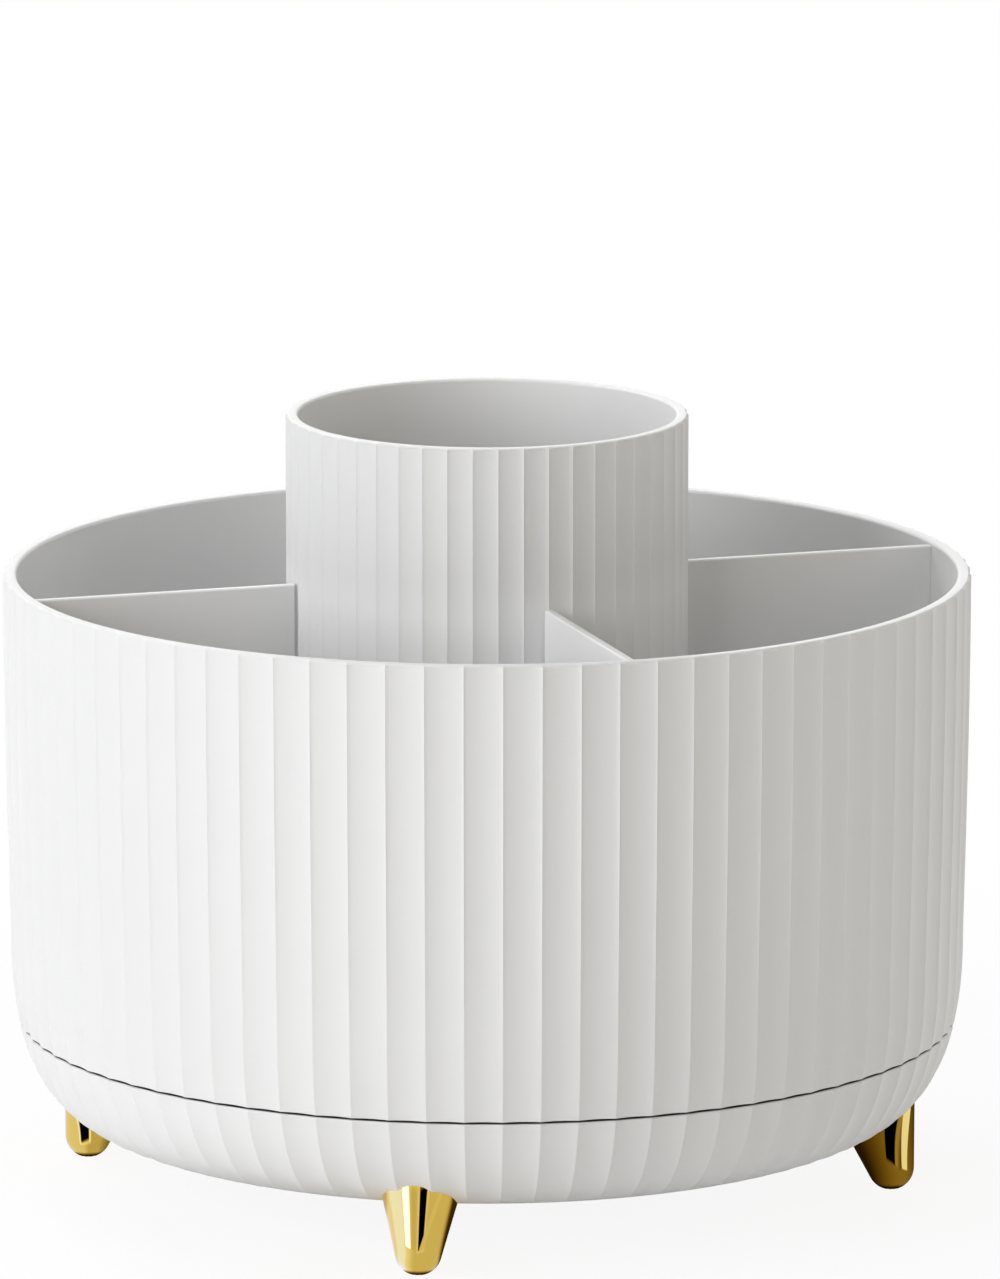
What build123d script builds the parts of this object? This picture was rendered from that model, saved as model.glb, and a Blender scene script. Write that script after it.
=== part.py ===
from build123d import *
import os
from math import asin, cos, degrees, pi, radians, sin, sqrt, tan

os.makedirs("parts", exist_ok=True)

# Rotating brush holder: a fluted tub that turns on a footed base, with a cross of
# dividers and a lift-out cup. Millimetres and degrees, +Z up, origin on the turning
# axis at the height the feet stand on. The four divider vanes lie along X and Y.

# Fluted outside of the tub and the base
rim_radius = 85.0
rim_height = 109.0
shoulder_inset = 0.9
shoulder_height = 45.5
belly_inset = 22.1
underside_height = 11.0
bowl_fullness = 2.6
flute_count = 80
flute_depth = 0.5
seam_height = 29.15
seam_gap = 0.5
bowl_bands = 5

# Tub
wall = 1.9
tub_floor = 2.2
tub_skirt = 1.6
tub_corner = 3.0
rim_round = 0.6
rim_inner_round = 0.6
lip_depth = 4.6
lip_width = 1.6
lip_gap = 1.4

# Centre cup
cup_radius = 35.3
cup_height = 103.7
cup_wall = 1.8
cup_floor = 2.2
cup_flute_count = 50
cup_flute_depth = 0.35
cup_corner = 2.0
cup_rim_round = 0.5
cup_rim_inner_round = 0.5
cup_foot_height = 2.0

# Divider cross and the low ribs on the tub floor that keep it from turning
vane_thickness = 1.6
vane_drop = 0.6
vane_round = 0.4
socket_wall = 1.8
socket_height = 12.0
socket_gap = 0.3
divider_gap = 0.3
guide_length = 9.0
guide_width = 1.2
guide_height = 3.5
guide_circle = 62.0
guide_gap = 0.25

# Base shell
base_wall = 1.8
base_floor = 2.4
seat_height = 4.0
seat_rib = 1.6
spoke_count = 8
spoke_width = 1.6
spoke_height = 3.0

# Ball bearing
ball_count = 6
ball_diameter = 6.0
ball_circle = 44.0
ball_play = 0.04
race_thickness = 2.6
race_inner_margin = 5.8
race_outer_margin = 3.6
groove_angle = 120.0
groove_depth = 1.1
cage_thickness = 2.0
cage_width = 9.0
cage_ride = 0.3
pocket_play = 0.05

# Countersunk screws that hold the races
race_screw_count = 4
race_screw_offset = 8.0
race_screw_diameter = 2.9
race_screw_head = 5.4
race_screw_length = 6.0
race_boss = 6.6

# Pivot: a hub on the tub in a flanged bush, held down by a washer and a screw
hub_radius = 6.0
bush_wall = 1.5
bush_flange_radius = 9.4
bush_flange = 1.2
bush_length = 12.0
pivot_fit = 0.05
boss_wall = 2.4
recess_radius = 9.6
recess_depth = 4.2
web = 2.0
washer_radius = 8.8
washer_thickness = 1.0
washer_play = 0.2
pivot_screw_diameter = 4.0
pivot_screw_length = 13.0
pivot_head_radius = 4.0
pivot_head_height = 2.4

# Feet: slanted cones whose outer side is upright
foot_count = 4
foot_turn = -117.0
foot_inset = 7.8
foot_lean = 14.3
foot_tip_radius = 4.1
foot_flat = 0.3
foot_gap = 0.05
stub_inset = 5.3
stub_radius = 3.8
stub_gap = 0.1
stub_top = 18.0
foot_screw_diameter = 2.9
foot_screw_length = 12.0
foot_head_radius = 2.8
foot_head_height = 2.0

# Screws and the bush sit this far off the walls of their holes
seat_gap = 0.03
screw_clearance = 0.15

# Heights and radii that follow from the sizes above
tub_bottom = seam_height + seam_gap / 2
base_top = seam_height - seam_gap / 2
floor_under = tub_bottom + tub_skirt
floor_top = floor_under + tub_floor
vane_top = rim_height - vane_drop
cup_top = floor_top + cup_height
socket_bore = cup_radius + socket_gap
base_floor_top = underside_height + base_floor
race_inner = ball_circle - race_inner_margin
race_screw_circle = ball_circle + race_screw_offset
race_outer = race_screw_circle + race_outer_margin
lower_race_under = base_floor_top + seat_height
lower_race_top = lower_race_under + race_thickness
groove_half_width = groove_depth * tan(radians(groove_angle / 2))
ball_rise = ball_diameter / 2 / sin(radians(groove_angle / 2)) + ball_play
ball_height = lower_race_top - groove_depth + ball_rise
upper_race_top = 2 * ball_height - lower_race_under
web_under = underside_height + recess_depth
web_top = web_under + web
bush_top = web_under + bush_length
bush_bore = hub_radius + pivot_fit
bush_radius = bush_bore + bush_wall
hub_end = web_under - washer_play
washer_under = hub_end - washer_thickness
seat_rib_radii = (race_inner, ball_circle + cage_width / 2)
shoulder_radius = rim_radius - shoulder_inset
belly_radius = shoulder_radius - belly_inset
foot_outer = shoulder_radius - foot_inset
stub_circle = foot_outer - stub_inset


def wall_radius(height):
    """Radius over the flute edges: a full rounded bowl, then a wall that leans out to the rim."""
    if height < shoulder_height:
        depth = (shoulder_height - height) / (shoulder_height - underside_height)
        reach = (1 - depth**bowl_fullness) ** (1 / bowl_fullness)
        return belly_radius + (shoulder_radius - belly_radius) * reach
    rise = (height - shoulder_height) / (rim_height - shoulder_height)
    return shoulder_radius + (rim_radius - shoulder_radius) * sin(pi / 2 * min(1, rise))


def bowl_turns(bands):
    """Turns along the bowl curve from the seam, in even steps, to 90 at the flat underside."""
    depth = (shoulder_height - base_top) / (shoulder_height - underside_height)
    start = degrees(asin(depth ** (bowl_fullness / 2)))
    return [start + (90 - start) * band / bands for band in range(bands + 1)]


def bowl_point(turn):
    """Radius over the flute edges, height and inward lean of the bowl curve at a turn."""
    reach = cos(radians(turn)) ** (2 / bowl_fullness)
    drop = sin(radians(turn)) ** (2 / bowl_fullness)
    radius = belly_radius + (shoulder_radius - belly_radius) * reach
    height = shoulder_height - (shoulder_height - underside_height) * drop
    flat = (shoulder_height - underside_height) * reach ** (bowl_fullness - 1)
    steep = (shoulder_radius - belly_radius) * drop ** (bowl_fullness - 1)
    return radius, height, steep / flat


def polar(radius, angle):
    return (radius * cos(radians(angle)), radius * sin(radians(angle)))


def fluted(radius, depth, count, height):
    """Horizontal section with one hollow arc for each flute, the first centred on +X."""
    half = 180 / count
    with BuildSketch(Plane.XY.offset(height)) as section:
        with BuildLine():
            for flute in range(count):
                middle = 2 * half * flute
                ThreePointArc(
                    polar(radius, middle - half),
                    polar(radius - depth, middle),
                    polar(radius, middle + half),
                )
        make_face()
    return section.sketch


def rim_sections(radius, top, rounding, depth, count):
    """Sections of a rounded rim, over which the flutes run out."""
    sections = []
    for turn in (0, 45, 90):
        inward = rounding * (1 - cos(radians(turn)))
        height = top - rounding * (1 - sin(radians(turn)))
        sections.append(fluted(radius - inward, max(0, depth - inward), count, height))
    return sections


def bowl_sections(spare):
    """Sections of the fluted bowl, grown by a spare distance; the flutes fade out under it."""
    sections = []
    for turn in bowl_turns(bowl_bands)[:-2]:
        radius, height, lean = bowl_point(turn)
        depth = flute_depth * sqrt(1 + lean**2) * (radius / rim_radius) ** 2
        sections.append(fluted(radius + spare, depth, flute_count, height - spare))
    radius, height, lean = bowl_point(bowl_turns(bowl_bands)[-2])
    sections.append(fluted(radius + spare, 0, flute_count, height - spare))
    sections.append(fluted(belly_radius + spare, 0, flute_count, underside_height - spare))
    return sections


def tub_cavity(inset, top):
    """Half of the upright section through the inside of the tub, inset for what fits in it."""
    low = wall_radius(floor_top) - flute_depth - wall - inset
    shoulder = shoulder_radius - flute_depth - wall - inset
    rim = rim_radius - flute_depth - wall - inset
    with BuildSketch(Plane.XZ) as section:
        with BuildLine():
            Polyline(
                (0, floor_top),
                (low, floor_top),
                (shoulder, shoulder_height),
                (rim, rim_height),
                (rim, rim_height + rim_round),
                (0, rim_height + rim_round),
                close=True,
            )
        make_face()
        chamfer(section.vertices().group_by(Axis.Y)[0].sort_by(Axis.X)[-1], tub_corner)
        with Locations((0, top)):
            Rectangle(2 * rim_radius, rim_height, align=(Align.CENTER, Align.MIN), mode=Mode.SUBTRACT)
    return section.sketch


def base_cavity():
    """Half of the upright section through the hollow of the base, square in from the bowl curve."""
    inset = flute_depth + base_wall
    inner = []
    for turn in bowl_turns(bowl_bands)[:-1]:
        radius, height, lean = bowl_point(turn)
        tilt = sqrt(1 + lean**2)
        inner.append((radius - inset / tilt, height + inset * lean / tilt))
    edge = inner[0][0]
    with BuildSketch(Plane.XZ) as section:
        with BuildLine():
            Polyline(
                (0, base_floor_top),
                (0, base_top + base_floor),
                (edge, base_top + base_floor),
                *inner,
                (belly_radius, base_floor_top),
                close=True,
            )
        make_face()
    return section.sketch


def ring(outer, inner, height):
    """Flat ring section at a height."""
    with BuildSketch(Plane.XY.offset(height)) as section:
        Circle(outer)
        Circle(inner, mode=Mode.SUBTRACT)
    return section.sketch


# Tub: fluted wall and floor, a hidden lip behind the seam, race seats and a hub below
with BuildPart() as tub:
    upright = shoulder_height - tub_bottom
    flute_top = rim_height - rim_round
    levels = (tub_bottom, tub_bottom + 0.4 * upright, tub_bottom + 1.3 * upright, flute_top)
    loft(sections=[fluted(wall_radius(z), flute_depth, flute_count, z) for z in levels], ruled=True)
    rim = rim_sections(wall_radius(flute_top), rim_height, rim_round, flute_depth, flute_count)
    loft(sections=rim, ruled=True)
    revolve(tub_cavity(0, rim_height + rim_round), axis=Axis.Z, mode=Mode.SUBTRACT)
    chamfer(tub.edges().filter_by(GeomType.CIRCLE).sort_by(Axis.Z)[-1], rim_inner_round)
    skirt_inner = wall_radius(tub_bottom) - flute_depth - wall
    with BuildSketch(Plane.XY.offset(tub_bottom)):
        Circle(skirt_inner)
    extrude(amount=tub_skirt, mode=Mode.SUBTRACT)
    lip_outer = skirt_inner - lip_gap
    extrude(ring(lip_outer, lip_outer - lip_width, floor_under), amount=-lip_depth)
    for inner in seat_rib_radii:
        extrude(ring(inner + seat_rib, inner, upper_race_top), amount=floor_under - upper_race_top)
    with BuildSketch(Plane.XY.offset(upper_race_top)):
        with PolarLocations(race_screw_circle, race_screw_count, start_angle=45):
            Circle(race_boss / 2)
    extrude(amount=floor_under - upper_race_top)
    with BuildSketch(Plane.XY.offset(upper_race_top)):
        with PolarLocations(race_screw_circle, race_screw_count, start_angle=45):
            Circle(race_screw_diameter / 2 + seat_gap)
    extrude(amount=race_screw_length - race_thickness + screw_clearance, mode=Mode.SUBTRACT)
    with BuildSketch(Plane.XY.offset(floor_under)):
        Circle(hub_radius)
    extrude(amount=hub_end - floor_under)
    with BuildSketch(Plane.XY.offset(hub_end)):
        Circle(pivot_screw_diameter / 2 + seat_gap)
    extrude(amount=pivot_screw_length, mode=Mode.SUBTRACT)
    with BuildSketch(Plane.XY.offset(floor_top)):
        with PolarLocations(guide_circle, 4):
            offset_side = vane_thickness / 2 + guide_gap + guide_width / 2
            with Locations((0, offset_side), (0, -offset_side)):
                Rectangle(guide_length, guide_width)
    extrude(amount=guide_height)
tub.part.label = "tub"

# Base shell: fluted bowl with a pivot boss, spokes, race seats and a stub for each foot
with BuildPart() as base_shell:
    loft(sections=bowl_sections(0), ruled=True)
    revolve(base_cavity(), axis=Axis.Z, mode=Mode.SUBTRACT)
    with BuildSketch(Plane.XY.offset(base_floor_top)):
        Circle(recess_radius + boss_wall)
    extrude(amount=web_top - base_floor_top)
    with BuildSketch(Plane.XY.offset(web_top)):
        Circle(bush_radius + boss_wall)
    extrude(amount=bush_top - web_top)
    with BuildSketch(Plane.XY.offset(base_floor_top)):
        spoke_start = recess_radius + boss_wall / 2
        with PolarLocations((spoke_start + race_inner) / 2, spoke_count, start_angle=180 / spoke_count):
            Rectangle(race_inner - spoke_start + seat_rib, spoke_width)
    extrude(amount=spoke_height)
    for inner in seat_rib_radii:
        extrude(ring(inner + seat_rib, inner, base_floor_top), amount=seat_height)
    with BuildSketch(Plane.XY.offset(base_floor_top)):
        with PolarLocations(race_screw_circle, race_screw_count, start_angle=45):
            Circle(race_boss / 2)
    extrude(amount=seat_height)
    with BuildSketch(Plane.XY.offset(lower_race_under)):
        with PolarLocations(race_screw_circle, race_screw_count, start_angle=45):
            Circle(race_screw_diameter / 2 + seat_gap)
    extrude(amount=-(race_screw_length - race_thickness + screw_clearance), mode=Mode.SUBTRACT)
    with BuildSketch(Plane.XY.offset(underside_height)):
        with PolarLocations(stub_circle, foot_count, start_angle=foot_turn):
            Circle(stub_radius)
    extrude(amount=stub_top - underside_height)
    with BuildSketch(Plane.XY.offset(underside_height)):
        with PolarLocations(stub_circle, foot_count, start_angle=foot_turn):
            Circle(foot_screw_diameter / 2 + screw_clearance)
    extrude(amount=stub_top - underside_height, mode=Mode.SUBTRACT)
    with BuildSketch(Plane.XY.offset(underside_height)):
        Circle(recess_radius)
    extrude(amount=recess_depth, mode=Mode.SUBTRACT)
    with BuildSketch(Plane.XY.offset(web_under)):
        Circle(bush_radius + seat_gap)
    extrude(amount=bush_length, mode=Mode.SUBTRACT)
base_shell.part.label = "base_shell"

# Pivot bush: a plain sleeve in the base with a flange on the boss
with BuildPart() as pivot_bush:
    extrude(ring(bush_radius, bush_bore, web_under), amount=bush_length)
    extrude(ring(bush_flange_radius, bush_bore, bush_top), amount=bush_flange)
    chamfer(pivot_bush.faces().sort_by(Axis.Z)[-1].edges(), 0.3)
pivot_bush.part.label = "pivot_bush"

# Pivot washer: clamped on the end of the hub, it runs under the web
with BuildPart() as pivot_washer:
    washer_bore = pivot_screw_diameter / 2 + screw_clearance
    extrude(ring(washer_radius, washer_bore, washer_under), amount=washer_thickness)
pivot_washer.part.label = "pivot_washer"

# Pivot screw: pan head below, driven up into the hub
with BuildPart() as pivot_screw:
    with BuildSketch(Plane.XY.offset(washer_under)):
        Circle(pivot_head_radius)
    extrude(amount=-pivot_head_height)
    chamfer(pivot_screw.edges().sort_by(Axis.Z)[0], pivot_head_height / 3)
    with BuildSketch(Plane.XY.offset(washer_under)):
        Circle(pivot_screw_diameter / 2)
    extrude(amount=pivot_screw_length)
pivot_screw.part.label = "pivot_screw"

# Lower race: a flat ring with the ball groove, screwed to the base
with BuildPart() as lower_race:
    extrude(ring(race_outer, race_inner, lower_race_under), amount=race_thickness)
    with BuildSketch(Plane.XZ):
        with BuildLine():
            Polyline(
                (ball_circle - groove_half_width, lower_race_top),
                (ball_circle, lower_race_top - groove_depth),
                (ball_circle + groove_half_width, lower_race_top),
                close=True,
            )
        make_face()
    revolve(axis=Axis.Z, mode=Mode.SUBTRACT)
    with Locations(Plane.XY.offset(lower_race_top)):
        with PolarLocations(race_screw_circle, race_screw_count, start_angle=45):
            CounterSinkHole(
                race_screw_diameter / 2 + screw_clearance,
                race_screw_head / 2 + screw_clearance,
                depth=race_thickness,
                counter_sink_angle=90,
            )
lower_race.part.label = "lower_race"

# Upper race: the same ring turned over, screwed under the tub
with BuildPart() as upper_race:
    mirror(lower_race.part, about=Plane.XY.offset(ball_height))
upper_race.part.label = "upper_race"

# Race screws: countersunk, flush in the race; the upper ones are driven up into the tub
with BuildPart() as race_screw:
    head_top = lower_race_top - screw_clearance + seat_gap
    head_radius = race_screw_head / 2
    shank_radius = race_screw_diameter / 2
    with BuildSketch(Plane.XZ):
        with BuildLine():
            Polyline(
                (0, head_top),
                (head_radius, head_top),
                (shank_radius, head_top - head_radius + shank_radius),
                (shank_radius, lower_race_top - race_screw_length),
                (0, lower_race_top - race_screw_length),
                close=True,
            )
        make_face()
    revolve(axis=Axis.Z)
with BuildPart() as lower_race_screws:
    with PolarLocations(race_screw_circle, race_screw_count, start_angle=45):
        add(race_screw.part)
lower_race_screws.part.label = "lower_race_screws"
with BuildPart() as upper_race_screws:
    mirror(lower_race_screws.part, about=Plane.XY.offset(ball_height))
upper_race_screws.part.label = "upper_race_screws"

# Bearing balls
with BuildPart() as bearing_balls:
    with Locations((0, 0, ball_height)):
        with PolarLocations(ball_circle, ball_count):
            Sphere(ball_diameter / 2)
bearing_balls.part.label = "bearing_balls"

# Ball cage: a flat ring with a round pocket for each ball, riding just above the lower race
with BuildPart() as ball_cage:
    cage_under = lower_race_top + cage_ride
    cage_outer = ball_circle + cage_width / 2
    extrude(ring(cage_outer, cage_outer - cage_width, cage_under), amount=cage_thickness)
    with Locations(Plane.XY.offset(cage_under + cage_thickness)):
        with PolarLocations(ball_circle, ball_count):
            Hole(ball_diameter / 2 + pocket_play)
ball_cage.part.label = "ball_cage"

# Feet: slanted cones, hollowed over their stubs and cut to the fluted bowl
with BuildPart() as grown_bowl:
    loft(sections=bowl_sections(foot_gap), ruled=True)
with BuildPart() as foot_cone:
    lean_sin = sin(radians(foot_lean))
    lean_cos = cos(radians(foot_lean))
    with BuildSketch(Plane.XZ):
        with BuildLine():
            tip = CenterArc((0, 0), foot_tip_radius, -90, 90 - foot_lean)
            side = Line(tip @ 1, tip @ 1 + Vector(lean_sin, lean_cos) * stub_top)
            Polyline(side @ 1, (0, (side @ 1).Y), tip @ 0)
        make_face()
    revolve(axis=Axis.Z)
with BuildPart() as foot:
    tip_middle = (foot_outer - foot_tip_radius, 0, foot_tip_radius - foot_flat)
    with Locations(Location(tip_middle, (0, -foot_lean, 0))):
        add(foot_cone.part)
    split(bisect_by=Plane.XY, keep=Keep.TOP)
    with BuildSketch(Plane.XY.offset(underside_height)):
        with Locations((stub_circle, 0)):
            Circle(stub_radius + stub_gap)
    extrude(amount=stub_top, mode=Mode.SUBTRACT)
    with BuildSketch(Plane.XY.offset(underside_height)):
        with Locations((stub_circle, 0)):
            Circle(foot_screw_diameter / 2 + seat_gap)
    foot_screw_reach = foot_screw_length - (stub_top - underside_height)
    extrude(amount=-(foot_screw_reach + screw_clearance), mode=Mode.SUBTRACT)
feet = []
for corner, name in enumerate(("foot_front", "foot_right", "foot_back", "foot_left")):
    with BuildPart() as seated_foot:
        add(foot.part, rotation=(0, 0, foot_turn + corner * 360 / foot_count))
        add(grown_bowl.part, mode=Mode.SUBTRACT)
    seated_foot.part.label = name
    feet.append(seated_foot)

# Foot screws: pan heads on the stubs inside the base
with BuildPart() as foot_screw:
    with BuildSketch(Plane.XY.offset(stub_top)):
        Circle(foot_head_radius)
    extrude(amount=foot_head_height)
    chamfer(foot_screw.edges().sort_by(Axis.Z)[-1], foot_head_height / 3)
    with BuildSketch(Plane.XY.offset(stub_top)):
        Circle(foot_screw_diameter / 2)
    extrude(amount=-foot_screw_length)
with BuildPart() as foot_screws:
    with PolarLocations(stub_circle, foot_count, start_angle=foot_turn):
        add(foot_screw.part)
foot_screws.part.label = "foot_screws"

# Divider frame: four vanes that follow the tub wall, joined by a socket ring for the cup
with BuildPart() as vane:
    extrude(tub_cavity(divider_gap, vane_top), amount=vane_thickness / 2, both=True)
    fillet(vane.edges().filter_by(Axis.X).group_by(Axis.Z)[-1], vane_round)
with BuildPart() as divider_frame:
    with PolarLocations(0, 4):
        add(vane.part)
    with BuildSketch(Plane.XY.offset(floor_top)):
        Circle(socket_bore + socket_wall)
    extrude(amount=socket_height)
    with BuildSketch(Plane.XY.offset(floor_top)):
        Circle(socket_bore)
    extrude(amount=rim_height, mode=Mode.SUBTRACT)
divider_frame.part.label = "divider_frame"

# Brush cup: fluted tube with a floor and a smooth foot band, standing in the socket
with BuildPart() as brush_cup:
    flute_bottom = floor_top + cup_foot_height
    fluted_height = cup_top - cup_rim_round - flute_bottom
    with BuildSketch(Plane.XY.offset(floor_top)):
        Circle(cup_radius - cup_flute_depth)
    extrude(amount=cup_foot_height)
    chamfer(brush_cup.edges().group_by(Axis.Z)[0], cup_flute_depth)
    extrude(fluted(cup_radius, cup_flute_depth, cup_flute_count, flute_bottom), amount=fluted_height)
    rim = rim_sections(cup_radius, cup_top, cup_rim_round, cup_flute_depth, cup_flute_count)
    loft(sections=rim, ruled=True)
    bore_radius = cup_radius - cup_flute_depth - cup_wall
    bore_floor = floor_top + cup_floor
    with BuildSketch(Plane.XZ):
        with BuildLine():
            Polyline(
                (0, bore_floor),
                (bore_radius - cup_corner, bore_floor),
                (bore_radius, bore_floor + cup_corner),
                (bore_radius, cup_top - cup_rim_inner_round),
                (bore_radius + cup_rim_inner_round, cup_top),
                (0, cup_top),
                close=True,
            )
        make_face()
    revolve(axis=Axis.Z, mode=Mode.SUBTRACT)
brush_cup.part.label = "brush_cup"

# Every piece in its own file
pieces = (
    base_shell,
    lower_race,
    lower_race_screws,
    pivot_bush,
    *feet,
    foot_screws,
    ball_cage,
    bearing_balls,
    tub,
    upper_race,
    upper_race_screws,
    pivot_washer,
    pivot_screw,
    divider_frame,
    brush_cup,
)
for piece in pieces:
    export_step(piece.part, "parts/" + piece.part.label + ".step")
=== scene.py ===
import math

import bmesh
import bpy
from bpy.props import FloatProperty, FloatVectorProperty, IntProperty, PointerProperty
from mathutils import Matrix, Vector


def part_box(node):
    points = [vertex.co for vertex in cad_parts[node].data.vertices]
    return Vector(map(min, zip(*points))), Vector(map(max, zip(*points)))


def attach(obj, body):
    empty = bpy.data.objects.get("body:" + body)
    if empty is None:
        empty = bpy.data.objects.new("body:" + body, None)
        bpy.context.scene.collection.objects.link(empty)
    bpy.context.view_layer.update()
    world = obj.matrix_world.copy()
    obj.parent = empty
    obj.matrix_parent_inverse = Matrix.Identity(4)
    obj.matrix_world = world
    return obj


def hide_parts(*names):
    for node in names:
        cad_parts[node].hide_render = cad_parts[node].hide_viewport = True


bl_info = {
    "name": "Rotating brush holder",
    "version": (1, 0, 0),
    "blender": (4, 5, 0),
    "location": "3D View > Sidebar > Brush Holder",
    "description": "Builds the fluted shells, gold feet, bearing and studio of a rotating brush holder",
    "category": "Object",
}

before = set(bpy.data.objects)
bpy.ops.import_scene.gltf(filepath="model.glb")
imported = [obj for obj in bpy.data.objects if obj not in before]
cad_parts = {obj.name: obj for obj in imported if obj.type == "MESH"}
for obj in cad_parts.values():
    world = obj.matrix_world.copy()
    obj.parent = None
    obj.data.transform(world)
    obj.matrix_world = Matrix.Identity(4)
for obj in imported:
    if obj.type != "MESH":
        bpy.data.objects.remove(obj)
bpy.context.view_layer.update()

_, TUB_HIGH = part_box("tub")
BASE_LOW, BASE_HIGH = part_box("base_shell")
CUP_LOW, CUP_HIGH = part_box("brush_cup")
BUSH_LOW, BUSH_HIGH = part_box("pivot_bush")
LOWER_RACE_LOW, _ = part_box("lower_race")
_, UPPER_RACE_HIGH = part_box("upper_race")

# Lengths are in metres. Seam between the base and the tub:
SEAM_TOP = 0.02934
SEAM_BOTTOM = BASE_HIGH.z + 0.00005
# Painted shade in the seam, a dark colour standing in for the shadow in the gap: depth where it starts and is
# full, and its reach up and down with a soft edge
SEAM_SHADE_START, SEAM_SHADE_FULL = 0.0004, 0.0009
SEAM_SHADE_HALF, SEAM_SHADE_SOFT = 0.00023, 0.00002
# Heights between which the steep lips of the tub's flutes grow to their full share
LIP_LOW, LIP_HIGH = 0.035, 0.075
# Turn of the bowl curve, in degrees, where the flutes end, and the turn over which they fade
FLUTE_END, FLUTE_FADE = 77.0, 14.0

# Rings under the tub floor and in the base that hold the races: inner radii and width
RACE_RINGS = (0.0382, 0.0485)
RING_WIDTH = 0.0016
# Under the tub floor: hub, pilot hole of the pivot screw, and dust lip inside the skirt
HUB_RADIUS, HUB_LOW, HUB_BEVEL = 0.006, 0.015, 0.0002
PILOT_RADIUS, PILOT_TOP = 0.00203, 0.028
DUST_LIP_GAP, DUST_LIP_WIDTH, DUST_LIP_DEPTH = 0.0014, 0.0016, 0.0046
# In the tub: rounding between wall and floor, and a row of points on the floor
TUB_CORNER, FLOOR_ROW = 0.003, 0.036
# Guide ribs beside the divider vanes, and where they stand
RIB_LENGTH, RIB_WIDTH, RIB_HEIGHT, RIB_ROUND = 0.009, 0.0012, 0.0035, 0.0004
RIB_REACH, RIB_ASIDE = 0.062, 0.00165

# Base: floor and wall, how far the flat inner floor stays inside the belly, and rows of the underside
BASE_FLOOR, BASE_WALL, BASE_CORNER = 0.0024, 0.0018, 0.002
UNDERSIDE_ROWS = (0.03, 0.05)
# Pivot boss of the base: hole of the bush, recess under the web, web, boss, and collar under the bush flange
BUSH_HOLE, RECESS_RADIUS, RECESS_BEVEL = 0.00758, 0.0096, 0.0003
WEB, BOSS_RADIUS, COLLAR_RADIUS, BUSH_FLANGE = 0.002, 0.012, 0.00995, 0.0012

# Cup: bevel of its foot, plain ring under the flutes, floor, and rounding between wall and floor
CUP_BEVEL, CUP_FOOT, CUP_FLOOR, CUP_CORNER = 0.0005, 0.002, 0.0022, 0.002

# Divider vanes: height of the foot that keeps its clearance, most clearance above it, and what is left of that
VANE_FOOT, VANE_CLEARANCE, VANE_GAP = 0.0035, 0.0006, 0.00004
# Distance over which the points of a CAD mesh are joined
WELD = 0.000002

# Rows of points: bowl and wall of the tub, bowl of the base outside and inside, cup, tip and cone of a foot
TUB_BOWL_ROWS, TUB_WALL_ROWS, BASE_ROWS, BASE_INNER_ROWS, CUP_ROWS = 12, 12, 30, 10, 21
TIP_ROWS, CONE_ROWS, FOOT_COLUMNS = 12, 14, 96
# How far a foot's side is followed into the bowl, how often that way is halved, and the bowl's least slope
FOOT_REACH, HALVINGS, LEAST_SLOPE = 0.03, 40, 0.05

# Outputs of the Light Path, Texture Coordinate, Mix and Vector Math nodes
CAMERA_RAY, GLOSSY_RAY, SINGULAR_RAY, TRANSMISSION_RAY = 0, 3, 4, 6
OBJECT_POINT, MIXED_COLOUR, LENGTH = 3, 2, 1


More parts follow.
